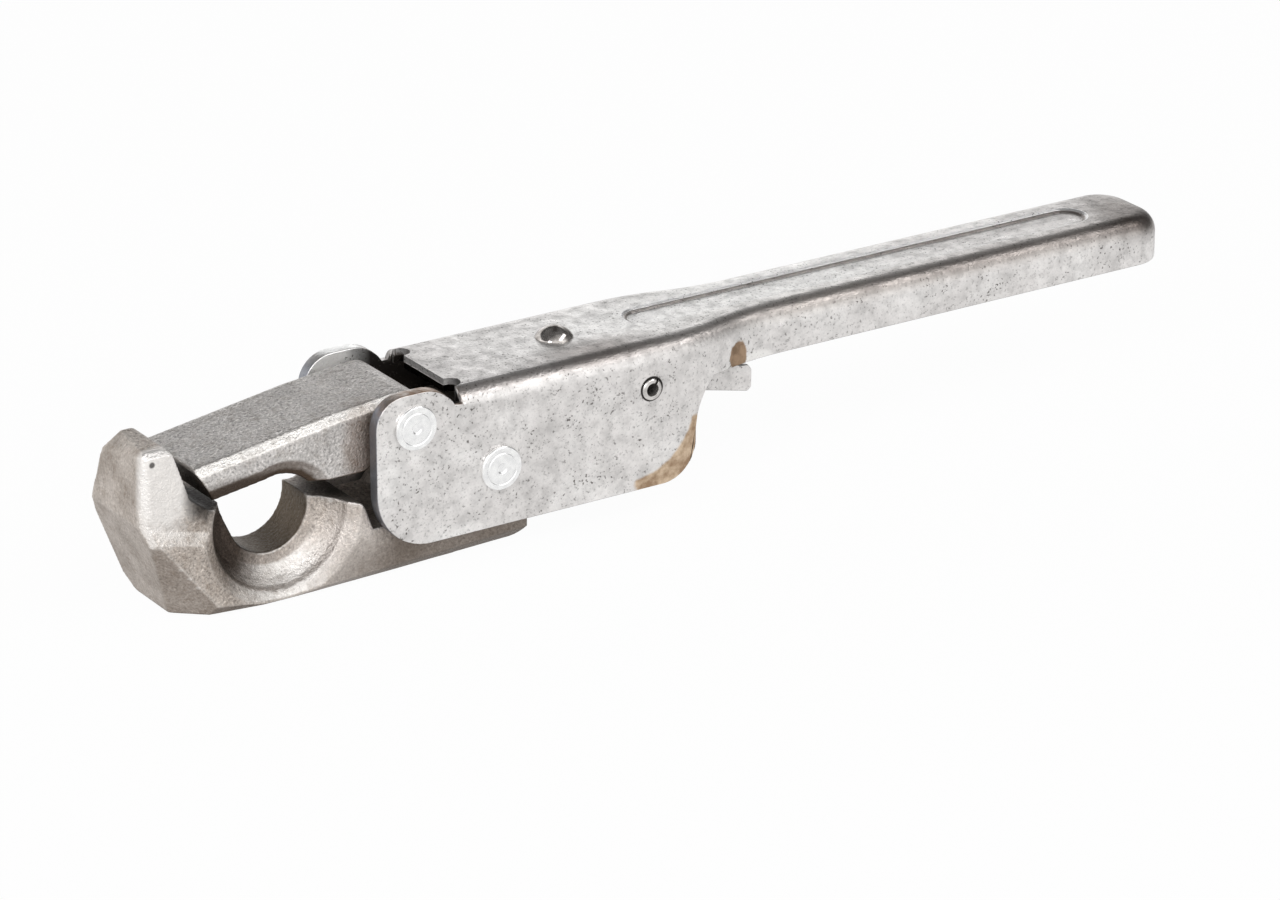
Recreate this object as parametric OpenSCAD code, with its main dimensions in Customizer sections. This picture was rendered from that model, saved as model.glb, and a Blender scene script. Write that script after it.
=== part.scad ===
// Over-centre tailgate latch: a forged hook body with an open seat for a round pin,
// a forged jaw that closes over the pin, and a folded sheet lever with a safety catch.
// Millimetres. X runs from the nose to the lever tip, Y across, Z up.
// The origin is the centre of the pin seat, on the mid-plane.

/* [Pin seat] */
// Diameter of the pin the seat takes
pin_d = 19; // [16:0.5:22]
// Distance from the front of the nose to the seat centre
seat_x = 33; // [31:0.5:36]
// Height of the seat centre above the flat underside
seat_z = 18.3; // [17:0.1:20]
// Thickness of the web that carries the seat
seat_web_t = 10.8; // [8:0.2:13]
// Outer radius of the bowl scooped round the seat
bowl_r = 19; // [17:0.1:20]

/* [Hook body] */
// Full width of the forging between the side plates
hook_w = 25.4; // [22:0.2:26]
// Height of the nose over the flat underside
nose_h = 40; // [38:0.5:43]
// Height of the crease across the front of the nose
nose_crease_z = 23.5; // [20:0.5:27]
// Width of the flat front facets from the mid-plane to the near corner
nose_near_w = 9.2; // [8:0.1:11]
// Width of the flat front facets from the mid-plane to the far corner
nose_far_w = 11.4; // [8:0.1:12]
// How far the upper nose is stepped in on each side
nose_step = 1.5; // [0.5:0.1:2.5]
// Bevel along the lower edges of the forging, below the seat
hook_bevel = 1; // [0.6:0.1:2]
// Rise of the underside at the tail
tail_rise = 0.6; // [0:0.1:1.5]
// Thickness of the forging under the jaw pivot
saddle_t = 11.5; // [8:0.5:12.5]
// Radius of the rounded end round the hook pivot
tail_r = 9.3; // [8:0.1:10]

/* [Upper jaw] */
// How far the jaw's sides lie inside the hook's sides
jaw_inset = 0.6; // [0.3:0.1:1.5]
// Bevel along the upper edges of the jaw
jaw_bevel = 1.75; // [0.8:0.05:2.5]
// Radius of the jaw eye round its rivet
jaw_eye_r = 6.4; // [6:0.1:6.8]
// Free gap between the pin and the arch of the jaw
arch_gap = 0.4; // [0.2:0.1:1]

/* [Lever] */
// Overall length from the nose to the lever tip
overall_l = 270; // [255:1:285]
// Sheet thickness of the lever
sheet_t = 3; // [2.4:0.1:3.2]
// Free gap between the hook's side and each side plate
side_gap = 0.9; // [0.6:0.1:2]
// Width of the hand grip
grip_w = 24.5; // [22:0.5:27]
// Height of the web's top face over the underside
web_z = 40; // [39.5:0.1:41]
// Outer radius of the long bends
bend_r = 4.8; // [4:0.1:5.5]
// Height of the lower edge of the side plates
plate_low_z = 6.85; // [5:0.1:8]
// Distance from the nose to the rear edge of the side plates
plate_rear_x = 135; // [132:0.5:138]
// Height of the lower edge of the grip flanges
grip_low_z = 29; // [28:0.1:31]
// Width of the long pressed groove in the web
groove_w = 9.8; // [6:0.2:12]
// Depth of the long pressed groove
groove_depth = 0.8; // [0.3:0.1:1.2]

/* [Rivets and pin] */
// Shank diameter of the two pivot rivets
rivet_d = 8; // [6:0.1:8.2]
// Head diameter of the two pivot rivets
rivet_head_d = 10; // [9.5:0.1:11]
// Height of the flat rivet heads
rivet_head_t = 0.9; // [0.6:0.1:1.4]
// Diameter of the rolled spring pin
roll_pin_d = 5; // [4:0.1:5.4]
// Bore of the rolled spring pin
roll_pin_bore = 3; // [2:0.1:3.2]
// Head diameter of the domed rivet on the web
dome_d = 8.6; // [7:0.1:10]

/* [Safety catch] */
// Thickness of the catch plate
catch_t = 3; // [2:0.1:5]
// Height of the finger tab
tab_h = 6.4; // [5:0.1:8]
// Reach of the finger tab from its pin
tab_reach = 36.7; // [34:0.1:40]
// Width of the leaf spring
leaf_w = 10; // [6:0.5:13]
// Thickness of the leaf spring
leaf_t = 0.6; // [0.4:0.1:1]

/* [Hidden] */
$fn = 64;
eps = 0.01;
run = 0.05;
plates_w = hook_w + 2 * (side_gap + sheet_t);
half_hook = hook_w / 2;
half_jaw = half_hook - jaw_inset;
half_plates = plates_w / 2;
half_grip = grip_w / 2;
pin_r = pin_d / 2;
seat_half = seat_web_t / 2;
seat_c = [seat_x, seat_z];
jaw_pivot = [63, 34.3];
hook_pivot = [84.1, 20.4];
catch_pivot = [123.1, 29.8];
dome_x = 108.4;
mouth_lean = 25;
ridge_top = [seat_x + pin_r, seat_z + 1.3];
ridge_end_x = 52;
ridge_fall = 0.17;
tail_x = hook_pivot[0] + tail_r - 0.1;
nose_toe_x = 8.9;
nose_top_front_x = 0.9;
nose_top_rear_x = 7.4;
nose_rear_low = [11.6, 27.6];
ledge = [16.2, 24.3];
jaw_tip_top = [12.5, 33.9];
jaw_tip_low = [17.3, 25.9];
jaw_top_mid = [46, 39];
jaw_low_z = 24.9;
jaw_flare = 1.8;
ear_front_x = 53.4;
ear_top_z = 42;
web_front_x = 75.2;
relief_r = 2.3;
relief_y = half_plates - bend_r - 1.3;
neck_x0 = 128;
neck_slope = 7.4;
neck_shift = half_plates - half_grip;
neck_x1 = neck_x0 + neck_slope * neck_shift;
neck_r = neck_shift * (1 + neck_slope * neck_slope) / 4;
neck_c0 = [neck_x0, half_plates - neck_r];
neck_c1 = [neck_x1, half_grip + neck_r];
tip_corner_r = 9;
inner_bend_r = bend_r - sheet_t;
catch_fall = 13;
arm_drop = 1.8;
plate_corner_r = 9;
neck_arc_r = 16;
neck_arc_drop = 11.8;

function unit(v) = v / norm(v);

// Bench position: nose front at X = 0, underside at Z = 0
module placed() {
    translate([-seat_x, 0, -seat_z])
        children();
}

// A flat outline drawn in X and Z, extruded between two Y values
module across(y0, y1) {
    translate([0, y1, 0])
        rotate([90, 0, 0])
            linear_extrude(height = y1 - y0)
                children();
}

// A flat outline drawn in Y and Z, extruded between two X values
module along(x0, x1) {
    translate([x0, 0, 0])
        rotate([90, 0, 90])
            linear_extrude(height = x1 - x0)
                children();
}

// The piece taken off a convex corner p, between neighbours a and b, to leave an arc
module corner_cut(p, a, b, r) {
    u = unit(a - p);
    v = unit(b - p);
    half_angle = acos(u * v) / 2;
    t = r / tan(half_angle);
    c = p + unit(u + v) * r / sin(half_angle);
    difference() {
        polygon([p + (p - c) * 0.6, p + u * t, c, p + v * t]);
        translate(c)
            circle(r = r, $fn = 64);
    }
}

// HOOK BODY
function ridge_z(x) = ridge_top[1] - ridge_fall * (x - ridge_top[0]);

hook_toe = [nose_toe_x, 0];
hook_crease = [0, nose_crease_z];
hook_brow = [nose_top_front_x, nose_h];
hook_crest = [nose_top_rear_x, nose_h];
hook_tail_low = [tail_x, tail_rise];
ridge_mid = [ridge_end_x + 0.9, saddle_t + 5];
ridge_low = [ridge_end_x + 2.6, saddle_t];
underside_bend = [58, 0];
saddle_end = [66, saddle_t];
boss_side = hook_pivot + (tail_r - 0.6) * [cos(146), sin(146)];

module hook_outline() {
    difference() {
        union() {
            polygon([hook_tail_low, [tail_x, hook_pivot[1] - 1], hook_pivot + [5, 5], boss_side,
                     saddle_end, ridge_low, ridge_mid, [ridge_end_x, ridge_z(ridge_end_x)], ridge_top,
                     [seat_x - pin_r - 3.8, ledge[1]], ledge, nose_rear_low, hook_crest, hook_brow,
                     hook_crease, hook_toe, underside_bend]);
            translate(hook_pivot)
                rotate(45)
                    circle(r = tail_r, $fn = 96);
        }
        seat_outline();
        corner_cut(hook_brow, hook_crease, hook_crest, 1);
        corner_cut(hook_crest, hook_brow, nose_rear_low, 2.2);
        corner_cut(hook_toe, hook_crease, [40, 0], 1.2);
        corner_cut(hook_tail_low, underside_bend, [tail_x, hook_pivot[1]], 3.5);
    }
}

// The open seat: a round bottom whose nose side leans back and whose ridge side is upright
module seat_outline() {
    translate(seat_c)
        circle(r = pin_r, $fn = 128);
    translate(seat_c)
        polygon([[0, 0], pin_r * [-cos(mouth_lean), -sin(mouth_lean)],
                 pin_r * [-cos(mouth_lean), -sin(mouth_lean)] + 20 * [-sin(mouth_lean), cos(mouth_lean)],
                 [pin_r, 16], [pin_r, 0]]);
}

// The bowl scooped into each face, down to the web that carries the seat
module bowl_cut() {
    translate([seat_x, 0, seat_z])
        rotate([90, 0, 0])
            rotate_extrude($fn = 128)
                polygon([[0, seat_half], [pin_r, seat_half], [bowl_r - 7, seat_half + 0.6],
                         [bowl_r - 4.8, seat_half + 2.2], [bowl_r - 3.4, seat_half + 4],
                         [bowl_r - 2.7, half_hook - 1.7], [bowl_r, half_hook + eps],
                         [bowl_r, half_hook + 3], [0, half_hook + 3]]);
}

// The bevel strip that steps the upper nose in, falling towards the seat
module nose_step_cut() {
    translate([2, 0, nose_crease_z - 0.2])
        rotate([0, 13.5, 0])
            along(-6, 20)
                polygon([[half_hook + 0.01, -3.6], [half_hook - nose_step, 0],
                         [half_hook - nose_step, 24], [half_hook + 4, 24], [half_hook + 4, -3.6]]);
}

module nose_crown_cut() {
    along(-2, 16)
        polygon([[half_hook - nose_step - 1.4, nose_h + 0.01], [half_hook - nose_step + 0.01, nose_h - 1.2],
                 [half_hook + 3, nose_h - 1.2], [half_hook + 3, nose_h + 1],
                 [half_hook - nose_step - 1.4, nose_h + 1]]);
}

// A block lying on the outer side of the plane through p that faces n
module beyond(p, n, size) {
    translate(p)
        rotate([0, acos(n[2] / norm(n)), atan2(n[1], n[0])])
            translate([-size / 2, -size / 2, 0])
                cube([size, size, size / 2]);
}

// The slanting brow over the front facet, deeper towards the far side
module nose_brow_cut() {
    beyond([3.9, 4.4, nose_h], [-0.763, 0.118, 0.636], 40);
}

// The far upper corner of the nose, drawn in towards its crown
module nose_far_cut() {
    along(-2, 22)
        polygon([[half_hook - 0.8, nose_crease_z - 1.5], [half_hook + 3, nose_crease_z - 1.5],
                 [half_hook + 3, nose_h + 3], [half_hook - 8.5, nose_h + 3],
                 [half_hook - 8.5, nose_h + 0.01], [half_hook - 5.7, nose_h - 4.2]]);
}

// The facet across the near corner of the toe
module nose_toe_cut() {
    beyond([nose_toe_x - 0.2, -4.2, 0.3], [-0.584, -0.669, -0.46], 50);
}

// The bevel down one corner of the nose, from a front facet of half width h
module nose_corner_cut(h) {
    translate([0, 0, -1])
        linear_extrude(height = nose_h + 3)
            polygon([[-2, h - 2], [half_hook - h + 1, half_hook + 1], [-2, half_hook + 1]]);
}

// A bevel along the lower edge from x0 over a given length, turned in plan about x0
module low_bevel(x0, from, to, turn) {
    translate([x0, half_hook - hook_bevel, 0])
        rotate([0, 0, turn])
            along(from, to)
                polygon([[-0.01, 0], [-0.01, -3], [9, -3], [9, 9.01]]);
}

module hook_low_bevel() {
    low_bevel(28, -32, 70, 0);
    low_bevel(28, -32, 0, 7.6);
    low_bevel(36, 0, 64, -2.2);
}

module hook_half_cuts() {
    bowl_cut_side();
    nose_step_cut();
    nose_crown_cut();
    hook_low_bevel();
}

// The bowl on the +Y face
module bowl_cut_side() {
    mirror([0, 1, 0])
        bowl_cut();
}

module hook_body() {
    color("dimgray")
        placed()
            difference() {
                across(-half_hook, half_hook)
                    hook_outline();
                hook_half_cuts();
                mirror([0, 1, 0])
                    hook_half_cuts();
                mirror([0, 1, 0])
                    nose_corner_cut(nose_near_w);
                nose_corner_cut(nose_far_w);
                nose_brow_cut();
                nose_far_cut();
                nose_toe_cut();
                across(-half_hook - 1, half_hook + 1)
                    translate(hook_pivot)
                        circle(d = rivet_d + 2 * run, $fn = 64);
            }
}

// UPPER JAW
arch_r = pin_r + arch_gap;
arch_start = [30, seat_z + sqrt(arch_r * arch_r - 9)];
arch_end = [seat_x + sqrt(arch_r * arch_r - (jaw_low_z - seat_z) * (jaw_low_z - seat_z)), jaw_low_z];
jaw_heel = [54, jaw_low_z];
jaw_heel_top = jaw_pivot + (jaw_eye_r - 0.5) * [cos(205), sin(205)];
jaw_eye_top = jaw_pivot + jaw_eye_r * [cos(95.6), sin(95.6)];
jaw_low_angle = atan((arch_start[1] - jaw_tip_low[1]) / (arch_start[0] - jaw_tip_low[0]));

module jaw_outline() {
    difference() {
        union() {
            polygon([jaw_tip_top, jaw_tip_low, arch_start, [seat_x, arch_start[1] - 3], arch_end,
                     jaw_heel, jaw_heel_top, jaw_pivot, jaw_eye_top, jaw_top_mid]);
            translate(jaw_pivot)
                circle(r = jaw_eye_r, $fn = 96);
        }
        translate(seat_c)
            circle(r = arch_r, $fn = 128);
        translate(jaw_pivot)
            circle(d = rivet_d + 2 * run, $fn = 64);
        corner_cut(jaw_tip_top, jaw_tip_low, jaw_top_mid, 0.7);
        corner_cut(jaw_heel, arch_end, jaw_heel_top, 2);
    }
}

module jaw_top_bevel(p, q, before, after) {
    turn = atan((q[1] - p[1]) / (q[0] - p[0]));
    translate([p[0], 0, p[1]])
        rotate([0, -turn, 0])
            along(-before, norm(q - p) + after)
                polygon([[half_jaw - jaw_bevel, 0.01], [half_jaw + 0.01, -jaw_bevel],
                         [half_jaw + 2, -jaw_bevel], [half_jaw + 2, 8], [half_jaw - jaw_bevel, 8]]);
}

module jaw_low_bevel() {
    translate([jaw_tip_low[0], 0, jaw_tip_low[1]])
        rotate([0, -jaw_low_angle, 0])
            along(-6, seat_x - jaw_tip_low[0])
                polygon([[half_jaw - jaw_flare, -0.01], [half_jaw + 0.01, 3.3],
                         [half_jaw + 2, 3.3], [half_jaw + 2, -4], [half_jaw - jaw_flare, -4]]);
}

module jaw_arch_flare() {
    translate([seat_x, 0, seat_z])
        rotate([-90, 0, 0])
            rotate_extrude($fn = 128)
                polygon([[0, half_jaw - jaw_flare], [arch_r - 0.01, half_jaw - jaw_flare],
                         [arch_r + 3.6, half_jaw + 0.01], [arch_r + 3.6, half_jaw + 2],
                         [0, half_jaw + 2]]);
}

module jaw_half_cuts() {
    jaw_top_bevel(jaw_tip_top, jaw_top_mid, 8, 0);
    jaw_top_bevel(jaw_top_mid, jaw_eye_top, 0, 14);
    jaw_low_bevel();
    jaw_arch_flare();
}

module upper_jaw() {
    color("gray")
        placed()
            difference() {
                across(-half_jaw, half_jaw)
                    jaw_outline();
                jaw_half_cuts();
                mirror([0, 1, 0])
                    jaw_half_cuts();
            }
}

// LEVER
plate_front_low = [ear_front_x, plate_low_z];
plate_rear_low = [plate_rear_x, plate_low_z];
plate_rear_high = [plate_rear_x, grip_low_z];

// Side view of the lever behind the ears
module lever_outline() {
    difference() {
        union() {
            polygon([plate_front_low, plate_rear_low, plate_rear_high, [overall_l + 1, grip_low_z],
                     [overall_l + 1, web_z + 1], [ear_front_x, web_z + 1]]);
            difference() {
                translate(plate_rear_high + [-1, -neck_arc_drop])
                    square([7, neck_arc_drop + 0.5]);
                translate(plate_rear_high + [neck_arc_r, -neck_arc_drop])
                    circle(r = neck_arc_r, $fn = 128);
            }
        }
        corner_cut(plate_rear_low, plate_front_low, plate_rear_high, plate_corner_r);
    }
}

// Side view of one ear, down to the lower edge of the plate
module ear_outline() {
    difference() {
        union() {
            translate([ear_front_x, plate_low_z])
                square([9, ear_top_z - 7 - plate_low_z]);
            translate([60, plate_low_z])
                square([web_front_x + 1 - 60, ear_top_z - 5.2 - plate_low_z]);
            translate([ear_front_x + 7, 20])
                square([65 - ear_front_x - 7, ear_top_z - 20]);
            translate([ear_front_x + 7, ear_top_z - 7])
                circle(r = 7, $fn = 64);
            translate([65, ear_top_z - 9])
                circle(r = 9, $fn = 64);
        }
        corner_cut(plate_front_low, [ear_front_x, 30], plate_rear_low, 13.5);
    }
}

// Section of one side wall, its bend and a strip of web; x counts outwards from the bend axis
module wall_section() {
    translate([inner_bend_r, 0])
        square([sheet_t, web_z - bend_r]);
    translate([-2, web_z - sheet_t])
        square([2, sheet_t]);
    difference() {
        intersection() {
            translate([0, web_z - bend_r])
                circle(r = bend_r, $fn = 48);
            translate([0, web_z - bend_r])
                square([bend_r + 1, bend_r + 1]);
        }
        translate([0, web_z - bend_r])
            circle(r = inner_bend_r, $fn = 32);
    }
}

// The wall with its bend along +Y, straight, then the two swept bends of the neck, then straight
module wall_side() {
    along(web_front_x, neck_x0)
        translate([half_plates - bend_r, 0])
            wall_section();
    intersection() {
        translate(neck_c0)
            rotate_extrude($fn = 72)
                translate([neck_r - bend_r, 0])
                    wall_section();
        linear_extrude(height = web_z + 2)
            polygon([neck_c0, neck_c1, [neck_x0, neck_c1[1]]]);
    }
    intersection() {
        translate(neck_c1)
            rotate_extrude($fn = 72)
                translate([neck_r + bend_r, 0])
                    mirror([1, 0])
                        wall_section();
        linear_extrude(height = web_z + 2)
            polygon([neck_c1, neck_c0, [neck_x1, neck_c0[1]]]);
    }
}

// The grip as a solid bar with rounded upper edges and a rounded end, set in by a given amount
module grip_solid(inset, base) {
    edge = bend_r - inset;
    top = web_z - inset;
    half = half_grip - inset;
    r = tip_corner_r - inset;
    end_x = overall_l - tip_corner_r;
    y = half_grip - tip_corner_r;
    along(neck_x1 - inset, end_x)
        difference() {
            translate([-half, base])
                square([2 * half, top - base]);
            corner_cut([half, top], [0, top], [half, 0], edge);
            corner_cut([-half, top], [0, top], [-half, 0], edge);
        }
    for (s = [-1, 1])
        translate([end_x, s * y, base])
            rotate_extrude($fn = 48)
                difference() {
                    square([r, top - base]);
                    corner_cut([r, top - base], [0, top - base], [r, 0], edge);
                }
    across(-y, y)
        difference() {
            translate([end_x, base])
                square([r, top - base]);
            corner_cut([end_x + r, top], [0, top], [end_x + r, 0], edge);
        }
}

module grip() {
    difference() {
        grip_solid(0, grip_low_z);
        grip_solid(sheet_t, grip_low_z - 2);
    }
}

module groove_slot(half_w, depth) {
    translate([0, 0, web_z - depth])
        linear_extrude(height = depth + 1) {
            translate([132, 0])
                circle(r = half_w, $fn = 64);
            translate([248.5, 0])
                circle(r = half_w, $fn = 64);
            translate([132, -half_w])
                square([116.5, 2 * half_w]);
        }
}

module web_plate() {
    translate([0, 0, web_z - sheet_t])
        linear_extrude(height = sheet_t)
            polygon([[web_front_x, -half_plates + bend_r + 1], [neck_x0, -half_plates + bend_r + 1],
                     [neck_x1, -half_grip + bend_r + 1], [neck_x1, half_grip - bend_r - 1],
                     [neck_x0, half_plates - bend_r - 1], [web_front_x, half_plates - bend_r - 1]]);
}

module lever_handle() {
    color("silver")
        placed()
            difference() {
                union() {
                    intersection() {
                        union() {
                            wall_side();
                            mirror([0, 1, 0])
                                wall_side();
                            web_plate();
                        }
                        across(-half_plates - 1, half_plates + 1)
                            lever_outline();
                    }
                    across(half_plates - sheet_t, half_plates)
                        ear_outline();
                    across(-half_plates, -half_plates + sheet_t)
                        ear_outline();
                    grip();
                }
                for (s = [-1, 1])
                    translate([web_front_x + 0.3, s * relief_y, web_z - 8])
                        cylinder(r = relief_r, h = 12, $fn = 48);
                across(-half_plates - 1, half_plates + 1) {
                    translate(jaw_pivot)
                        circle(d = rivet_d, $fn = 64);
                    translate(hook_pivot)
                        circle(d = rivet_d, $fn = 64);
                    translate(catch_pivot)
                        circle(d = roll_pin_d, $fn = 64);
                }
                translate([dome_x, 0, web_z - 5])
                    cylinder(d = 4, h = 10, $fn = 48);
                groove_slot(groove_w / 2, groove_depth / 2);
                groove_slot(groove_w / 2 - 0.8, groove_depth);
            }
}

// RIVETS AND PIN
// Turned outline of a rivet along its axis, with a ringed and dimpled head at each end
module rivet(half_l) {
    r = rivet_d / 2;
    h = rivet_head_d / 2;
    t = half_l + rivet_head_t;
    rotate([90, 0, 0])
        rotate_extrude($fn = 96)
            polygon([[0, -t + 0.3], [0.9, -t + 0.3], [1.3, -t], [h * 0.66, -t], [h * 0.69, -t + 0.15],
                     [h * 0.74, -t + 0.15], [h * 0.77, -t], [h - 0.25, -t], [h, -t + 0.25], [h, -half_l],
                     [r, -half_l], [r, half_l], [h, half_l], [h, t - 0.25], [h - 0.25, t],
                     [h * 0.77, t], [h * 0.74, t - 0.15], [h * 0.69, t - 0.15], [h * 0.66, t],
                     [1.3, t], [0.9, t - 0.3], [0, t - 0.3]]);
}

module jaw_pivot_rivet() {
    color("white")
        placed()
            translate([jaw_pivot[0], 0, jaw_pivot[1]])
                rivet(half_plates);
}

module hook_pivot_rivet() {
    color("white")
        placed()
            translate([hook_pivot[0], 0, hook_pivot[1]])
                rivet(half_plates);
}

module catch_pivot_pin() {
    color("darkgray")
        placed()
            difference() {
                translate([catch_pivot[0], 0, catch_pivot[1]])
                    rotate([90, 0, 0])
                        rotate_extrude($fn = 64)
                            polygon([[roll_pin_bore / 2, -half_plates - 0.3],
                                     [roll_pin_d / 2 - 0.3, -half_plates - 0.3],
                                     [roll_pin_d / 2, -half_plates], [roll_pin_d / 2, half_plates],
                                     [roll_pin_d / 2 - 0.3, half_plates + 0.3],
                                     [roll_pin_bore / 2, half_plates + 0.3]]);
                translate([catch_pivot[0], 0, catch_pivot[1]])
                    rotate([0, 35, 0])
                        translate([-0.3, -half_plates - 1, 0])
                            cube([0.6, plates_w + 2, roll_pin_d]);
            }
}

module spring_rivet() {
    rise = dome_d * 0.3;
    ball = (dome_d * dome_d / 4 + rise * rise) / (2 * rise);
    color("dimgray")
        placed()
            translate([dome_x, 0, 0]) {
                intersection() {
                    translate([0, 0, web_z + rise - ball])
                        sphere(r = ball, $fn = 96);
                    translate([-dome_d, -dome_d, web_z])
                        cube([2 * dome_d, 2 * dome_d, 2 * rise]);
                }
                translate([0, 0, web_z - sheet_t - leaf_t - 1])
                    cylinder(d = 4, h = sheet_t + leaf_t + 1 + eps, $fn = 48);
                translate([0, 0, web_z - sheet_t - leaf_t - 1])
                    cylinder(d = 7, h = 1, $fn = 48);
            }
}

// SAFETY CATCH
leaf_top_z = web_z - sheet_t;
leaf_rear = 6;
leaf_flat = 18;
leaf_touch = 15.5;
leaf_end = 19.5;
leaf_rest = leaf_t / 2 + 0.15;
function arm_low(dx) = -arm_drop - tab_h / 2 - dx * tan(catch_fall);
function leaf_z(dx) = catch_pivot[1] + arm_low(dx) + tab_h + leaf_rest;
leaf_path = [[dome_x - leaf_rear, leaf_top_z - leaf_t / 2], [dome_x + leaf_flat, leaf_top_z - leaf_t / 2],
             [catch_pivot[0] + leaf_touch, leaf_z(leaf_touch)], [catch_pivot[0] + leaf_end, leaf_z(leaf_end)]];

module catch_outline() {
    translate(catch_pivot) {
        polygon([[-1, -4.3], [8, arm_low(8)], [tab_reach - 1.1, arm_low(tab_reach - 1.1)],
                 [tab_reach, arm_low(tab_reach) + 1.1], [tab_reach, arm_low(tab_reach) + tab_h - 1],
                 [tab_reach - 1, arm_low(tab_reach - 1) + tab_h], [0, arm_low(0) + tab_h]]);
        circle(r = 4.8, $fn = 64);
        polygon([[-1, 4.6], [-19, -3.5], [-28, -11.5], [-28.6, -16.5], [-24.5, -17.2], [-20, -11],
                 [1, -4.6]]);
    }
}

module catch_lever() {
    hub_half = half_plates - sheet_t - 0.4;
    color("lightgray")
        placed()
            difference() {
                union() {
                    across(-catch_t / 2, catch_t / 2)
                        catch_outline();
                    across(-hub_half, hub_half)
                        translate(catch_pivot)
                            circle(r = 4.4, $fn = 64);
                }
                across(-hub_half - 1, hub_half + 1)
                    translate(catch_pivot)
                        circle(d = roll_pin_d + 2 * run, $fn = 64);
            }
}

module catch_spring() {
    color("slategray")
        placed()
            difference() {
                across(-leaf_w / 2, leaf_w / 2)
                    polygon([leaf_path[0] + [0, leaf_t / 2], leaf_path[1] + [0, leaf_t / 2],
                             leaf_path[2] + [0, leaf_t / 2], leaf_path[3] + [0, leaf_t / 2],
                             leaf_path[3] - [0, leaf_t / 2], leaf_path[2] - [0, leaf_t / 2],
                             leaf_path[1] - [0, leaf_t / 2], leaf_path[0] - [0, leaf_t / 2]]);
                translate([dome_x, 0, leaf_top_z - 8])
                    cylinder(d = 4, h = 12, $fn = 48);
            }
}

hook_body();
upper_jaw();
lever_handle();
jaw_pivot_rivet();
hook_pivot_rivet();
catch_lever();
catch_pivot_pin();
catch_spring();
spring_rivet();
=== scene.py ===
import math

import bmesh
import bpy
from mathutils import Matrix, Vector


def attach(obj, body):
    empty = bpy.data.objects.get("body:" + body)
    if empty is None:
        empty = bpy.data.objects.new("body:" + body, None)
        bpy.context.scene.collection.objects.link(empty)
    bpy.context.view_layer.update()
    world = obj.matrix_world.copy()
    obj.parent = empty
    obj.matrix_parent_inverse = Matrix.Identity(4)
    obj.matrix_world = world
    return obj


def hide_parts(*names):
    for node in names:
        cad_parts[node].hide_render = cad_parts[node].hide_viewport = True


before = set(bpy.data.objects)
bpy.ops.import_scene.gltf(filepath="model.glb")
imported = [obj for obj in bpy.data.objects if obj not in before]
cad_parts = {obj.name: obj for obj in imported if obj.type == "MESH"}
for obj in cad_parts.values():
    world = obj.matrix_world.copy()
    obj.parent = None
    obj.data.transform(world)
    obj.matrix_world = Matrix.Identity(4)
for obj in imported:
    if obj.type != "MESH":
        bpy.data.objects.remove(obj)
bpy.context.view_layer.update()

# Places are read off the latch in millimetres: X from the front of the nose, Y from the middle to the
# far side, Z from the welded underside. The row frame's origin is the middle of the pin seat.
SEAT_X, SEAT_Z = 33.0, 18.3
MM = 0.001

# The lever along X: the end of its ears, the stretch over which its channel's inside darkens with
# painted shade, its neck, and the middle and half the straight run of the groove in its grip
EARS_END = 66.0
CHANNEL_START, CHANNEL_DARK = 64.0, 70.0
NECK_START, NECK_END = 118.0, 165.0
GROOVE_MIDDLE, GROOVE_HALF = 190.25, 58.25


def place(x, y, z):
    """A point measured on the latch in millimetres, as metres in the row frame."""
    return Vector(((x - SEAT_X) / 1000, y / 1000, (z - SEAT_Z) / 1000))


def per_metre(mm):
    """The texture scale whose features are about this many millimetres across."""
    return 1000 / mm


def colour(text):
    """A colour written as sRGB hex, as the linear values that a shader works in."""
    parts = [int(text[i:i + 2], 16) / 255 for i in (0, 2, 4)]
    return [p / 12.92 if p <= 0.04045 else ((p + 0.055) / 1.055) ** 2.4 for p in parts] + [1.0]


def add(tree, kind, inputs=None, **settings):
    """Adds one node, with its settings, and with each input either linked or set."""
    made = tree.nodes.new(kind)
    for name, value in settings.items():
        setattr(made, name, value)
    for name, value in (inputs or {}).items():
        if isinstance(value, bpy.types.NodeSocket):
            tree.links.new(value, made.inputs[name])
        else:
            made.inputs[name].default_value = value
    return made


def stops(ramp, *pairs):
    """Sets a colour ramp's stops from (position, grey or colour) pairs, and gives its output."""
    elements = ramp.color_ramp.elements
    while len(elements) > 1:
        elements.remove(elements[-1])
    for i, (position, value) in enumerate(pairs):
        stop = elements[0] if i == 0 else elements.new(position)
        stop.position = position
        stop.color = value if isinstance(value, list) else [value, value, value, 1.0]
    return ramp.outputs["Color"]


def new_material(name):
    """A node material with its surface shader, and the object coordinates that its patterns read."""
    material = bpy.data.materials.new(name)
    material.use_nodes = True
    tree = material.node_tree
    tree.nodes.clear()
    out = tree.nodes.new("ShaderNodeOutputMaterial")
    shader = add(tree, "ShaderNodeBsdfPrincipled")
    tree.links.new(shader.outputs["BSDF"], out.inputs["Surface"])
    coordinates = add(tree, "ShaderNodeTexCoord", name="coordinates")
    return material, tree, shader, coordinates.outputs["Object"]


# MASKS AND LAYERS


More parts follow.
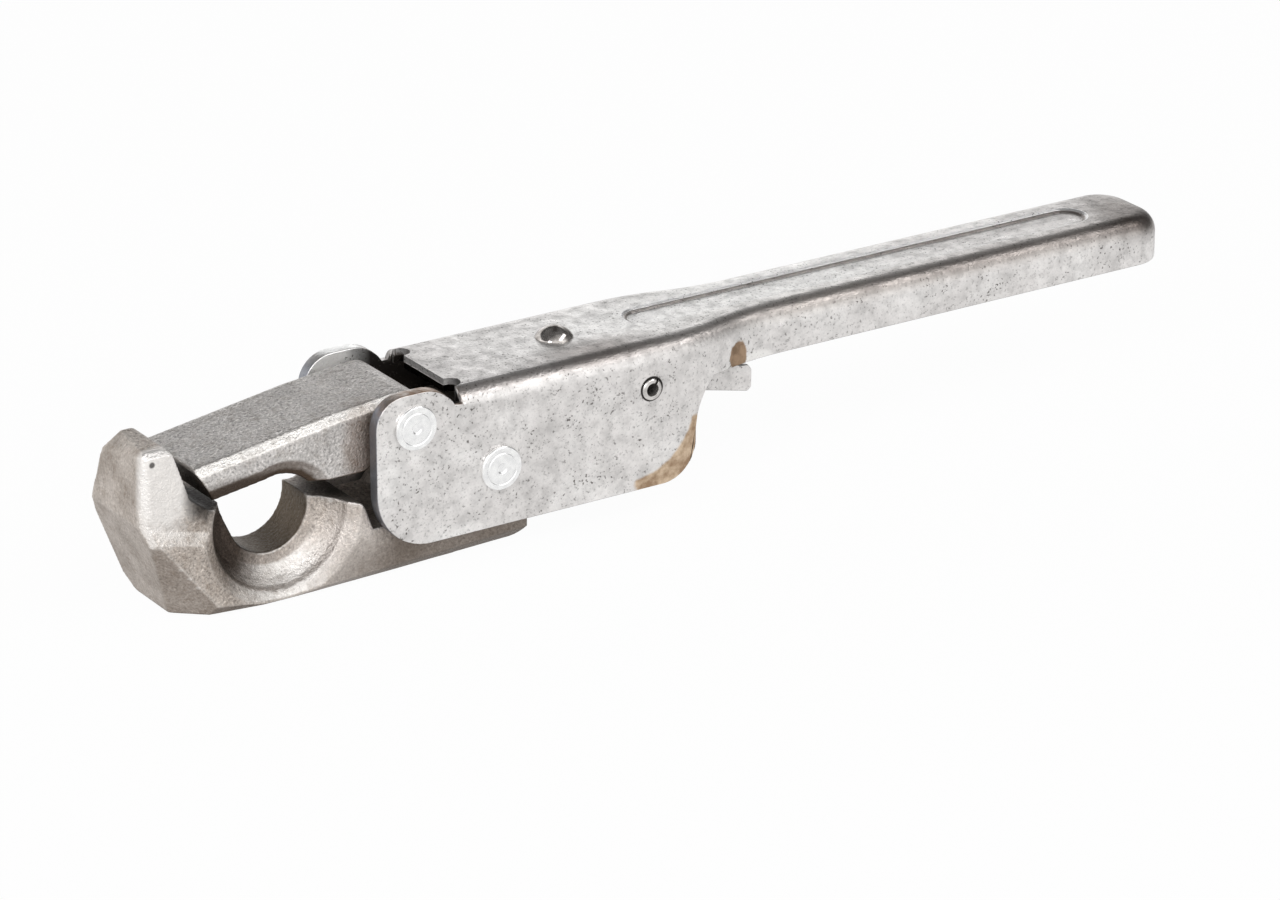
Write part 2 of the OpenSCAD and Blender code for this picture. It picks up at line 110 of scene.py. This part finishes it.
def near(tree, at, centre, radii, soft, ragged):
    """A mask, 1 inside an ellipsoid given in millimetres on the latch and 0 outside. Waves 1.8 mm
    across make its rim ragged."""
    inside = add(tree, "ShaderNodeMapping",
                 {"Vector": at, "Location": place(*centre), "Scale": [r / 1000 for r in radii]},
                 vector_type="TEXTURE")
    away = add(tree, "ShaderNodeVectorMath", {0: inside.outputs["Vector"]}, operation="LENGTH")
    waves = add(tree, "ShaderNodeTexNoise", {"Vector": at, "Scale": per_metre(1.8), "Detail": 4.0})
    rim = add(tree, "ShaderNodeMath",
              {0: waves.outputs["Fac"], 1: ragged, 2: away.outputs["Value"]}, operation="MULTIPLY_ADD")
    middle = 1 + ragged / 2
    mask = add(tree, "ShaderNodeMapRange",
               {"Value": rim.outputs[0], "From Min": middle + soft, "From Max": middle - soft})
    return mask.outputs["Result"]


def thin_line(tree, away, at_mm, half_mm):
    """A mask, 1 along a line that runs at one distance in millimetres. It fades out from 0.7 to 1.4
    times the line's half width."""
    off = add(tree, "ShaderNodeMath", {0: away, 1: at_mm / 1000}, operation="SUBTRACT")
    gap = add(tree, "ShaderNodeMath", {0: off.outputs[0]}, operation="ABSOLUTE")
    mask = add(tree, "ShaderNodeMapRange", {"Value": gap.outputs[0], "From Min": 1.4 * half_mm / 1000,
                                            "From Max": 0.7 * half_mm / 1000})
    return mask.outputs["Result"]


def paint(tree, below, *layers):
    """Lays (mask, colour or socket, blend type) layers over a colour, the last on top."""
    for mask, above, how in layers:
        below = add(tree, "ShaderNodeMix", {0: mask, 6: below, 7: above}, data_type="RGBA",
                    blend_type=how).outputs[2]
    return below


def place_layers(tree, at, places):
    """Paint layers for listed places: centre, radii, softness, raggedness, strength, colour, blend."""
    layers = []
    for centre, radii, soft, ragged, strength, shade, how in places:
        mask = add(tree, "ShaderNodeMath",
                   {0: near(tree, at, centre, radii, soft, ragged), 1: strength}, operation="MULTIPLY")
        layers.append((mask.outputs[0], colour(shade), how))
    return layers


# FORGED STEEL


def forged_steel(name, light, dark, tint, roughness, shade_slope, places):
    """Drop-forged steel, shot-blasted and left raw: a warm grey with a fine sparkling grain, cloudy
    tones, bright worn edges and dark hollows. Faces that look down further than the given slope
    are painted dark brown as shade, and the near side's upper bevels carry a painted highlight."""
    material, tree, shader, at = new_material(name)

    # Cloudy tones, rusty blotches and the blasted grain, which is drawn coarser than it is, 0.6 mm
    # across, because the render can't show it finer
    clouds, blotches, grain = (
        add(tree, "ShaderNodeTexNoise", {"Vector": at, "Scale": per_metre(across), "Detail": detail,
                                         "Roughness": fineness}).outputs["Fac"]
        for across, detail, fineness in ((9, 4.0, 0.6), (2.2, 3.0, 0.6), (0.6, 3.0, 0.7)))
    tone = stops(add(tree, "ShaderNodeValToRGB", {"Fac": clouds}),
                 (0.36, colour(dark)), (0.64, colour(light)))
    speckle = stops(add(tree, "ShaderNodeValToRGB", {"Fac": grain}),
                    (0.34, 0.48), (0.46, 0.92), (0.56, 1.06), (0.67, 1.6))
    rusty = stops(add(tree, "ShaderNodeValToRGB", {"Fac": blotches}), (0.50, 0.0), (0.72, 0.5))

    # The mesh's own edges and hollows
    geometry = add(tree, "ShaderNodeNewGeometry")
    worn = stops(add(tree, "ShaderNodeValToRGB", {"Fac": geometry.outputs["Pointiness"]}),
                 (0.504, 0.0), (0.58, 0.75))
    hollow = stops(add(tree, "ShaderNodeValToRGB", {"Fac": geometry.outputs["Pointiness"]}),
                   (0.42, 0.45), (0.495, 1.0))

    # Which way a face looks: down, for painted shade; towards the nose, where the grain shows less; or
    # near and up, for a painted highlight
    facing = add(tree, "ShaderNodeSeparateXYZ", {0: tree.nodes["coordinates"].outputs["Normal"]})
    down = add(tree, "ShaderNodeMapRange", {"Value": facing.outputs["Z"], "From Min": -shade_slope,
                                            "From Max": -shade_slope - 0.4, "To Max": 0.85})
    grain_share = add(tree, "ShaderNodeMapRange", {"Value": facing.outputs["X"], "From Min": -0.8,
                                                   "From Max": -0.4, "To Min": 0.4, "To Max": 0.9})
    slant = add(tree, "ShaderNodeMath", {0: facing.outputs["Y"], 1: facing.outputs["Z"]},
                operation="MULTIPLY")
    # This mask carries a painted highlight on the bevels that look near and up
    ground = add(tree, "ShaderNodeMapRange", {"Value": slant.outputs[0], "From Min": -0.28,
                                              "From Max": -0.45, "To Max": 0.85})

    painted = paint(tree, tone,
                    (grain_share.outputs["Result"], speckle, "MULTIPLY"),
                    # Painted highlight on the bevels that look near and up
                    (ground.outputs["Result"], colour("f6f3ef"), "MIX"),
                    (rusty, colour(tint), "MIX"),
                    (worn, colour("e4dfda"), "MIX"),
                    (1.0, hollow, "MULTIPLY"),
                    # Painted shade, dark brown, on the faces that look down
                    (down.outputs["Result"], colour("5a4a3c"), "MIX"),
                    *place_layers(tree, at, places))
    tree.links.new(painted, shader.inputs["Base Color"])
    rough = add(tree, "ShaderNodeMapRange", {"Value": grain, "From Min": 0.3, "From Max": 0.7,
                                             "To Min": roughness + 0.12, "To Max": roughness - 0.12})
    tree.links.new(rough.outputs["Result"], shader.inputs["Roughness"])
    low = add(tree, "ShaderNodeBump", {"Height": blotches, "Strength": 0.4, "Distance": 0.5 * MM})
    fine = add(tree, "ShaderNodeBump", {"Height": grain, "Strength": 0.9, "Distance": 0.3 * MM,
                                        "Normal": low.outputs["Normal"]})
    tree.links.new(fine.outputs["Normal"], shader.inputs["Normal"])
    shader.inputs["Metallic"].default_value = 0.85
    return material


# ZINC ON SHEET

# Here spot is the painted point in metres, and facing is the direction that its face looks in


def ear_edges(tree, spot, facing):
    """A mask of the ears' cut edges that look towards the nose."""
    cut = add(tree, "ShaderNodeMapRange", {"Value": facing.outputs["X"], "From Min": -0.35,
                                           "From Max": -0.8, "To Max": 0.8})
    ear = add(tree, "ShaderNodeMath", {0: spot.outputs["X"], 1: place(EARS_END, 0, 0).x},
              operation="LESS_THAN")
    edge = add(tree, "ShaderNodeMath", {0: cut.outputs["Result"], 1: ear.outputs[0]},
               operation="MULTIPLY")
    return edge.outputs[0]


def outer_bends(tree, spot, facing):
    """A mask of painted shade on the long bends between the lever's top and its sides, weaker around
    the groove.
    """
    turn = stops(add(tree, "ShaderNodeValToRGB", {"Fac": facing.outputs["Z"]}),
                 (0.45, 0.0), (0.68, 0.75), (0.90, 0.75), (0.985, 0.0))
    aside = add(tree, "ShaderNodeMath", {0: spot.outputs["Y"]}, operation="ABSOLUTE")
    outer = add(tree, "ShaderNodeMapRange", {"Value": aside.outputs[0], "From Min": 6 * MM,
                                             "From Max": 8 * MM, "To Min": 0.6})
    bend = add(tree, "ShaderNodeMath", {0: turn, 1: outer.outputs["Result"]}, operation="MULTIPLY")
    return bend.outputs[0]


def near_slope(tree, spot, facing):
    """A mask of painted shade on the lever's top, which grows to the near side, and from the neck
    to the grip.
    """
    slope = add(tree, "ShaderNodeMapRange", {"Value": spot.outputs["Y"], "From Min": -3 * MM,
                                             "From Max": -10.5 * MM, "To Max": 0.6})
    grip = add(tree, "ShaderNodeMapRange", {"Value": spot.outputs["X"],
                                            "From Min": place(NECK_START, 0, 0).x,
                                            "From Max": place(NECK_END, 0, 0).x})
    upward = add(tree, "ShaderNodeMapRange", {"Value": facing.outputs["Z"], "From Min": 0.1,
                                              "From Max": 0.5})
    along = add(tree, "ShaderNodeMath", {0: slope.outputs["Result"], 1: grip.outputs["Result"]},
                operation="MULTIPLY")
    shade = add(tree, "ShaderNodeMath", {0: along.outputs[0], 1: upward.outputs["Result"]},
                operation="MULTIPLY")
    return shade.outputs[0]


def groove_lines(tree, spot):
    """The masks of a painted highlight along the lip and of painted shade along the root of the grip's
    groove. Each line keeps one distance from the straight between the middles of the groove's round
    ends."""
    ahead = add(tree, "ShaderNodeMath", {0: spot.outputs["X"], 1: place(GROOVE_MIDDLE, 0, 0).x},
                operation="SUBTRACT")
    reach = add(tree, "ShaderNodeMath", {0: ahead.outputs[0]}, operation="ABSOLUTE")
    past = add(tree, "ShaderNodeMath", {0: reach.outputs[0], 1: GROOVE_HALF / 1000},
               operation="SUBTRACT")
    beyond = add(tree, "ShaderNodeMath", {0: past.outputs[0], 1: 0.0}, operation="MAXIMUM")
    offset = add(tree, "ShaderNodeCombineXYZ", {"X": beyond.outputs[0], "Y": spot.outputs["Y"]})
    away = add(tree, "ShaderNodeVectorMath", {0: offset.outputs[0]}, operation="LENGTH")
    lip = thin_line(tree, away.outputs["Value"], 4.95, 0.28)
    root = thin_line(tree, away.outputs["Value"], 4.3, 0.35)
    return lip, root


def channel_inside(tree, spot, facing):
    """A mask of painted shade on the lever's inner faces, which look to the middle or down, behind
    its ears.
    """
    behind = add(tree, "ShaderNodeMapRange", {"Value": spot.outputs["X"],
                                              "From Min": place(CHANNEL_START, 0, 0).x,
                                              "From Max": place(CHANNEL_DARK, 0, 0).x})
    inwards = add(tree, "ShaderNodeMath", {0: spot.outputs["Y"], 1: facing.outputs["Y"]},
                  operation="MULTIPLY")
    wall = add(tree, "ShaderNodeMapRange", {"Value": inwards.outputs[0], "From Min": -4 * MM,
                                            "From Max": -9 * MM})
    under = add(tree, "ShaderNodeMapRange", {"Value": facing.outputs["Z"], "From Min": -0.4,
                                             "From Max": -0.8})
    either = add(tree, "ShaderNodeMath", {0: wall.outputs["Result"], 1: under.outputs["Result"]},
                 operation="MAXIMUM")
    inside = add(tree, "ShaderNodeMath", {0: either.outputs[0], 1: behind.outputs["Result"]},
                 operation="MULTIPLY")
    return inside.outputs[0]


def bare_steel(tree, at, facing, mottle):
    """Layers for the bare brown steel: a ground spot on the flange over the tab, rust on the near
    ear's rim, and a ground band along the round lower corner of the near side plate."""
    brown = stops(add(tree, "ShaderNodeValToRGB", {"Fac": mottle}),
                  (0.38, colour("7e6853")), (0.62, colour("a38a72")))
    tan = stops(add(tree, "ShaderNodeValToRGB", {"Fac": mottle}),
                (0.38, colour("9c8269")), (0.62, colour("d4bea4")))
    spot_by_tab = near(tree, at, (147.6, -12.3, 31.3), (2.9, 3.0, 3.9), 0.06, 0.35)
    rim = add(tree, "ShaderNodeMapRange", {"Value": facing.outputs["Z"], "From Min": 0.35,
                                           "From Max": 0.75})
    rust = add(tree, "ShaderNodeMath", {0: near(tree, at, (65, -15.6, 38.6), (9, 3, 5), 0.4, 1.4),
                                        1: rim.outputs["Result"]}, operation="MULTIPLY")
    corner = near(tree, at, (132, -16.6, 10), (13.5, 4, 11.6), 0.03, 0.1)
    coated = near(tree, at, (118, -16.6, 26), (16.6, 60, 16.6), 0.02, 0.05)
    band = add(tree, "ShaderNodeMath", {0: corner, 1: coated}, operation="SUBTRACT", use_clamp=True)
    return [(spot_by_tab, brown, "MIX"), (rust.outputs[0], colour("856a53"), "MIX"),
            (band.outputs[0], tan, "MIX")]


def zinc_sheet(highlight_places, places):
    """Cold-formed steel sheet, zinc coated and tumbled: pale grey, mottled in soft patches, with fine
    dark pits in drifts, painted highlights and painted shade, and bare brown steel where it was ground."""
    material, tree, shader, at = new_material("tumbled zinc on steel sheet")

    # Large clouds, soft patches and blooms, then the dusty grain and the pits, which are drawn coarser
    # than they are, 0.6 mm across, because the render can't show them finer
    clouds, mottle, blush, grain, pits = (
        add(tree, "ShaderNodeTexNoise", {"Vector": at, "Scale": per_metre(across), "Detail": detail,
                                         "Roughness": fineness, "Distortion": twist}).outputs["Fac"]
        for across, detail, fineness, twist in ((17, 5.0, 0.62, 0.0), (3.0, 4.0, 0.6, 0.0),
                                                (8, 4.0, 0.6, 0.6), (0.6, 2.0, 0.6, 0.0),
                                                (0.6, 2.0, 0.5, 0.0)))
    tone = stops(add(tree, "ShaderNodeValToRGB", {"Fac": clouds}),
                 (0.30, colour("cfccca")), (0.50, colour("dddad8")), (0.70, colour("e8e6e4")))
    patches = stops(add(tree, "ShaderNodeValToRGB", {"Fac": mottle}),
                    (0.36, 0.84), (0.48, 0.98), (0.62, 1.08))
    bloom = stops(add(tree, "ShaderNodeValToRGB", {"Fac": blush}),
                  (0.36, 0.90), (0.46, 0.97), (0.54, 1.0), (0.64, 1.05))
    dust = stops(add(tree, "ShaderNodeValToRGB", {"Fac": grain}),
                 (0.32, 0.72), (0.42, 0.98), (0.62, 1.04))
    pit = stops(add(tree, "ShaderNodeValToRGB", {"Fac": pits}), (0.31, 1.0), (0.38, 0.0))
    drift = stops(add(tree, "ShaderNodeValToRGB", {"Fac": blush}),
                  (0.42, 1.0), (0.50, 0.35), (0.58, 0.1))
    pitted = add(tree, "ShaderNodeMath", {0: pit, 1: drift}, operation="MULTIPLY")
    facing = add(tree, "ShaderNodeSeparateXYZ", {0: tree.nodes["coordinates"].outputs["Normal"]})
    spot = add(tree, "ShaderNodeSeparateXYZ", {0: at})
    lip, root = groove_lines(tree, spot)

    painted = paint(tree, tone, *place_layers(tree, at, highlight_places),
                    (1.0, patches, "MULTIPLY"),
                    (1.0, bloom, "MULTIPLY"),
                    (0.8, dust, "MULTIPLY"),
                    *place_layers(tree, at, places),
                    # Painted shade on the near half of the grip's top
                    (near_slope(tree, spot, facing), colour("b3aba5"), "MULTIPLY"),
                    # Painted shade along the groove's root, then a painted highlight along its lip
                    (root, colour("c6c1be"), "MULTIPLY"),
                    (lip, colour("ffffff"), "MIX"),
                    # Painted shade on the long bends
                    (outer_bends(tree, spot, facing), colour("bdb8b6"), "MULTIPLY"),
                    # Painted shade on the channel's inner faces
                    (channel_inside(tree, spot, facing), colour("3f3b38"), "MIX"),
                    (pitted.outputs[0], colour("625e5b"), "MIX"),
                    (ear_edges(tree, spot, facing), colour("565a66"), "MIX"),
                    *bare_steel(tree, at, facing, mottle))
    tree.links.new(painted, shader.inputs["Base Color"])
    rough = add(tree, "ShaderNodeMapRange", {"Value": mottle, "From Min": 0.3, "From Max": 0.7,
                                             "To Min": 0.42, "To Max": 0.27})
    tree.links.new(rough.outputs["Result"], shader.inputs["Roughness"])
    low = add(tree, "ShaderNodeBump", {"Height": mottle, "Strength": 0.35, "Distance": 0.4 * MM})
    fine = add(tree, "ShaderNodeBump", {"Height": grain, "Strength": 0.45, "Distance": 0.15 * MM,
                                        "Normal": low.outputs["Normal"]})
    tree.links.new(fine.outputs["Normal"], shader.inputs["Normal"])
    shader.inputs["Metallic"].default_value = 0.85
    return material


# PLAIN STEEL


def plain_steel(name, light, dark, roughness, patch_mm):
    """Smooth steel, plated, drawn, blued or oiled, with faint cloudy tones."""
    material, tree, shader, at = new_material(name)
    haze = add(tree, "ShaderNodeTexNoise", {"Vector": at, "Scale": per_metre(patch_mm), "Detail": 4.0})
    tone = stops(add(tree, "ShaderNodeValToRGB", {"Fac": haze.outputs["Fac"]}),
                 (0.35, colour(dark)), (0.65, colour(light)))
    tree.links.new(tone, shader.inputs["Base Color"])
    ripple = add(tree, "ShaderNodeBump", {"Height": haze.outputs["Fac"], "Strength": 0.2,
                                          "Distance": 0.15 * MM})
    tree.links.new(ripple.outputs["Normal"], shader.inputs["Normal"])
    shader.inputs["Metallic"].default_value = 0.9
    shader.inputs["Roughness"].default_value = roughness
    return material


# PIECES

# Points this close are one, in metres. Faces that differ by less than the first turn are one face,
# and an edge that turns more than the second is sharp, in degrees.
SAME_POINT = 1e-7
FLAT_TURN, SHARP_TURN = 0.2, 28


def merged_copy(node, name):
    """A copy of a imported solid's mesh with its triangles joined, as an object of its own."""
    shape = bmesh.new()
    shape.from_mesh(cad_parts[node].data)
    bmesh.ops.remove_doubles(shape, verts=shape.verts[:], dist=SAME_POINT)
    bmesh.ops.dissolve_limit(shape, angle_limit=math.radians(FLAT_TURN), verts=shape.verts[:],
                             edges=shape.edges[:])
    mesh = bpy.data.meshes.new(name)
    shape.to_mesh(mesh)
    shape.free()
    piece = bpy.data.objects.new(name, mesh)
    bpy.context.scene.collection.objects.link(piece)
    return piece


def bake_modifiers(piece):
    """Makes a piece's modifiers part of its mesh."""
    bpy.context.view_layer.update()
    shown = piece.evaluated_get(bpy.context.evaluated_depsgraph_get())
    mesh = bpy.data.meshes.new_from_object(shown)
    mesh.name = piece.name
    piece.modifiers.clear()
    piece.data = mesh


def finish_piece(piece, node, body, material):
    """Gives a piece its finish and its body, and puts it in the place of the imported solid."""
    piece.data.materials.clear()
    piece.data.materials.append(material)
    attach(piece, body)
    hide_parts(node)


def forging(node, name, body, material, cell_mm):
    """A forged piece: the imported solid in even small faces, with its edges softened."""
    piece = merged_copy(node, name)
    cells = piece.modifiers.new("even faces", "REMESH")
    cells.mode = "VOXEL"
    cells.voxel_size = cell_mm / 1000
    soft = piece.modifiers.new("soft edges", "SMOOTH")
    soft.factor = 0.5
    soft.iterations = 2
    bake_modifiers(piece)
    piece.data.shade_smooth()
    finish_piece(piece, node, body, material)


def pressing(node, name, body, material, edge_mm, left_sharp=None):
    """A pressed, turned or cut piece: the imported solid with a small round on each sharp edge, but for
    the edges inside a box that is given by its two corners."""
    piece = merged_copy(node, name)
    shape = bmesh.new()
    shape.from_mesh(piece.data)
    weight = shape.edges.layers.float.new("bevel_weight_edge")
    for edge in shape.edges:
        middle = (edge.verts[0].co + edge.verts[1].co) / 2
        kept = left_sharp and all(a < m < b for a, m, b in zip(left_sharp[0], middle, left_sharp[1]))
        if not kept and edge.calc_face_angle(0.0) > math.radians(SHARP_TURN):
            edge[weight] = 1.0
    shape.to_mesh(piece.data)
    shape.free()
    edges = piece.modifiers.new("edge rounds", "BEVEL")
    edges.width = edge_mm / 1000
    edges.segments = 2
    edges.limit_method = "WEIGHT"
    edges.use_clamp_overlap = False
    bake_modifiers(piece)
    piece.data.shade_smooth()
    normals = piece.modifiers.new("flat faces", "WEIGHTED_NORMAL")
    normals.keep_sharp = True
    finish_piece(piece, node, body, material)


# Places of wear, dirt and shadow: centre, radii, softness, raggedness, strength, colour, blend
hook_places = [
    # The nose: a painted highlight on its near side and painted shade on its top
    ((5, -12, 34), (8.5, 4, 13), 0.25, 0.5, 0.75, "f8f5f2", "MIX"),
    ((6, 4, 41), (14, 9, 3.5), 0.2, 0.4, 0.25, "7e7872", "MIX"),
    # A painted highlight on the bowl's middle and painted shade on its front, the brown seat, and the
    # painted shadow in front of it
    ((38, -9, 7), (13, 4, 8), 0.4, 0.4, 0.2, "dedad9", "MIX"),
    ((27, -10, 9), (8, 6, 8), 0.5, 0.5, 0.6, "8a8582", "MULTIPLY"),
    ((SEAT_X, 0, SEAT_Z), (10.1, 18, 10.1), 0.02, 0.05, 0.95, "574b3c", "MIX"),
    ((21, -5, 14), (8, 6.4, 13), 0.35, 0.3, 1.0, "6f6761", "MULTIPLY"),
    # Painted shade in the gaps by the jaw's tip and above the ridge
    ((15, -3, 28.5), (6, 12, 8.5), 0.2, 0.2, 0.95, "1d1916", "MIX"),
    ((57, -3, 21.5), (15, 10, 4.5), 0.25, 0.2, 0.95, "1b1815", "MIX"),
    # On the near side: a painted shadow under the ear, a lighter patch behind the bowl, and painted
    # shade down to the tail
    ((62, -13, 11), (6, 2, 9), 0.5, 0.3, 0.5, "6a5f56", "MULTIPLY"),
    ((48, -12, 8), (9, 5, 10), 0.5, 0.6, 0.35, "e6e0dc", "MIX"),
    ((76, -12, 3), (30, 6, 7), 0.4, 0.5, 0.75, "665c53", "MIX"),
    # The punched dot
    ((2.9, -11.6, 37.5), (0.65, 2.4, 0.65), 0.25, 0.1, 0.85, "2e2a27", "MIX"),
]
jaw_places = [
    # Rust beside the near ear, the brown arch, and the shadows under the tip and at the rear end
    ((53, -12, 31), (4.5, 6, 9), 0.4, 0.6, 0.5, "7a5c44", "MIX"),
    ((SEAT_X, 0, SEAT_Z), (12.3, 30, 12.3), 0.04, 0.08, 1.0, "483a2e", "MIX"),
    ((22, -8.5, 27.9), (11, 5, 3.2), 0.25, 0.2, 0.9, "43362b", "MIX"),
    ((80, 0, 34), (9.5, 20, 9), 0.25, 0.1, 0.95, "1e1b19", "MIX"),
]
highlight_places = [
    # A painted highlight along the back of the web, the neck and the front of the grip
    ((152, -2, 40), (52, 12, 5), 0.35, 0.4, 0.75, "f6f5f3", "MIX"),
]
sheet_places = [
    # Painted shade on the grip's end, painted light on the far ear, a darker patch by the web's near
    # bend, the tab, and painted shade in the slit pin's gap
    ((262, -6, 41), (9, 14, 5), 0.5, 0.4, 1.0, "a39e9b", "MULTIPLY"),
    ((58, 14, 41), (14, 4, 12), 0.2, 0.2, 1.0, "fbfbfa", "MIX"),
    ((112, -11, 41), (12, 5, 4), 0.6, 0.8, 1.0, "b9b4b2", "MULTIPLY"),
    ((153, -9, 27), (6.5, 9, 4.5), 0.1, 0.1, 1.0, "f0eeeb", "MIX"),
    ((123, -16.6, 30), (2.9, 6, 2.9), 0.03, 0.02, 1.0, "2b2927", "MIX"),
]

hook_finish = forged_steel("raw drop-forged steel", "c9c0b8", "a79d94", "7b6a59", 0.42, 0.28,
                           hook_places)
jaw_finish = forged_steel("forged steel with ground faces", "d2cecb", "bcb8b5", "8f867d", 0.36, 0.1,
                          jaw_places)
sheet_finish = zinc_sheet(highlight_places, sheet_places)
rivet_finish = plain_steel("bright zinc plating", "fbfbfa", "ececec", 0.26, 1.6)
pin_finish = plain_steel("spring steel tube", "e6e3e0", "aeaaa7", 0.24, 2.4)
spring_finish = plain_steel("blued spring steel strip", "5b6068", "3a3e44", 0.35, 2.4)
dome_finish = plain_steel("oiled rivet steel", "d0cbc7", "7a746f", 0.15, 2.4)

# The web's front edge keeps its sharp notches, which are too narrow for a round
notches = (place(71, -17, 31), place(79, 17, 41))

forging("hook_body", "forged_hook", "hook", hook_finish, 0.36)
forging("upper_jaw", "forged_jaw", "jaw", jaw_finish, 0.34)
pressing("lever_handle", "sheet_lever", "handle", sheet_finish, 0.30, notches)
pressing("jaw_pivot_rivet", "front_rivet", "handle", rivet_finish, 0.10)
pressing("hook_pivot_rivet", "lower_rivet", "handle", rivet_finish, 0.10)
pressing("catch_lever", "catch_plate", "catch", sheet_finish, 0.30)
pressing("catch_pivot_pin", "slit_pin", "handle", pin_finish, 0.08)
pressing("spring_rivet", "dome_rivet", "handle", dome_finish, 0.10)
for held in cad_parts["catch_spring"].material_slots:
    held.material = spring_finish


# SETTING


def pale_floor():
    """A plain pale floor just under the welded face. It is nearly white to the camera and pale in the
    metal's reflections, and its paper keeps a faint shadow of the latch."""
    mesh = bpy.data.meshes.new("floor")
    shape = bmesh.new()
    bmesh.ops.create_grid(shape, x_segments=1, y_segments=1, size=6.0)
    bmesh.ops.translate(shape, vec=(0, 0, place(0, 0, 0).z - 0.3 * MM), verts=shape.verts[:])
    shape.to_mesh(mesh)
    shape.free()
    floor = bpy.data.objects.new("floor", mesh)
    bpy.context.scene.collection.objects.link(floor)
    paper, tree, shader, _ = new_material("white paper floor")
    shader.inputs["Base Color"].default_value = colour("dedede")
    shader.inputs["Roughness"].default_value = 0.9
    white = add(tree, "ShaderNodeEmission", {"Color": [1, 1, 1, 1], "Strength": 1.0})
    rays = add(tree, "ShaderNodeLightPath")
    seen = add(tree, "ShaderNodeMath", {0: rays.outputs["Is Camera Ray"], 1: 0.97},
               operation="MULTIPLY")
    mirrored = add(tree, "ShaderNodeMath", {0: rays.outputs["Is Glossy Ray"], 1: 0.72},
                   operation="MULTIPLY")
    share = add(tree, "ShaderNodeMath", {0: seen.outputs[0], 1: mirrored.outputs[0]},
                operation="MAXIMUM")
    shown = add(tree, "ShaderNodeMixShader",
                {0: share.outputs[0], 1: shader.outputs["BSDF"], 2: white.outputs["Emission"]})
    out = next(n for n in tree.nodes if n.type == "OUTPUT_MATERIAL")
    tree.links.new(shown.outputs["Shader"], out.inputs["Surface"])
    mesh.materials.append(paper)


def studio():
    """Soft studio surroundings: bright in front, a pale backdrop with a dark band above it that the
    bends mirror, dim beyond the grip's end, and white to the camera."""
    world = bpy.data.worlds.new("studio")
    bpy.context.scene.world = world
    world.use_nodes = True
    tree = world.node_tree
    tree.nodes.clear()
    out = tree.nodes.new("ShaderNodeOutputWorld")
    way = add(tree, "ShaderNodeSeparateXYZ", {0: add(tree, "ShaderNodeTexCoord").outputs["Generated"]})
    height = add(tree, "ShaderNodeMapRange", {"Value": way.outputs["Z"], "From Min": -1.0,
                                              "From Max": 1.0})
    back = stops(add(tree, "ShaderNodeValToRGB", {"Fac": height.outputs["Result"]}),
                 (0.50, 1.35), (0.72, 1.35), (0.77, 0.04), (0.86, 0.05), (0.97, 0.12))
    front = add(tree, "ShaderNodeMapRange", {"Value": way.outputs["Y"], "From Min": -0.2,
                                             "From Max": -0.8})
    side = add(tree, "ShaderNodeMapRange", {"Value": way.outputs["X"], "From Min": 0.62,
                                            "From Max": 0.86, "To Max": 0.9})
    sight = add(tree, "ShaderNodeLightPath")
    light = paint(tree, back,
                  (front.outputs["Result"], [1.4, 1.4, 1.4, 1.0], "MIX"),
                  (side.outputs["Result"], [0.03, 0.03, 0.03, 1.0], "MIX"),
                  (sight.outputs["Is Camera Ray"], [1.0, 1.0, 1.0, 1.0], "MIX"))
    room = add(tree, "ShaderNodeBackground", {"Color": light, "Strength": 1.0})
    tree.links.new(room.outputs["Background"], out.inputs["Surface"])


def soft_box(name, spot, aim, length, depth, watts):
    """A soft lamp that faces a point on the latch."""
    lamp = bpy.data.lights.new(name, "AREA")
    lamp.shape = "RECTANGLE"
    lamp.size = length
    lamp.size_y = depth
    lamp.energy = watts
    stand = bpy.data.objects.new(name, lamp)
    stand.location = spot
    stand.rotation_mode = "QUATERNION"
    stand.rotation_quaternion = (aim - spot).to_track_quat("-Z", "Y")
    bpy.context.scene.collection.objects.link(stand)


def photo_camera(spot, azimuth, elevation, lens):
    """A camera at the photo's viewing angle, which looks along the direction given in degrees."""
    view = bpy.data.cameras.new("camera")
    view.lens = lens
    view.sensor_width = 36
    view.clip_start = 0.05
    view.clip_end = 40
    camera = bpy.data.objects.new("camera", view)
    bpy.context.scene.collection.objects.link(camera)
    bpy.context.scene.camera = camera
    turn, rise = math.radians(azimuth), math.radians(elevation)
    backwards = Vector((math.sin(turn) * math.cos(rise), -math.cos(turn) * math.cos(rise),
                        math.sin(rise)))
    camera.location = spot
    camera.rotation_mode = "QUATERNION"
    camera.rotation_quaternion = (-backwards).to_track_quat("-Z", "Y")


pale_floor()
studio()
middle = place(120, 0, 25)
soft_box("strip over the front", middle + Vector((0.42, -0.47, 0.74)), middle, 0.9, 0.18, 2.4)
soft_box("box at the nose side", middle + Vector((-0.70, -0.42, 0.55)), middle, 0.3, 0.3, 3)
# The camera's place in metres, direction in degrees and lens in millimetres are the photo's, as
# fitted to the latch's known sizes
photo_camera(spot=(-0.50928, -0.92312, 0.44554), azimuth=-33.332, elevation=22.415, lens=151.27)

bpy.context.scene.view_settings.view_transform = "Standard"
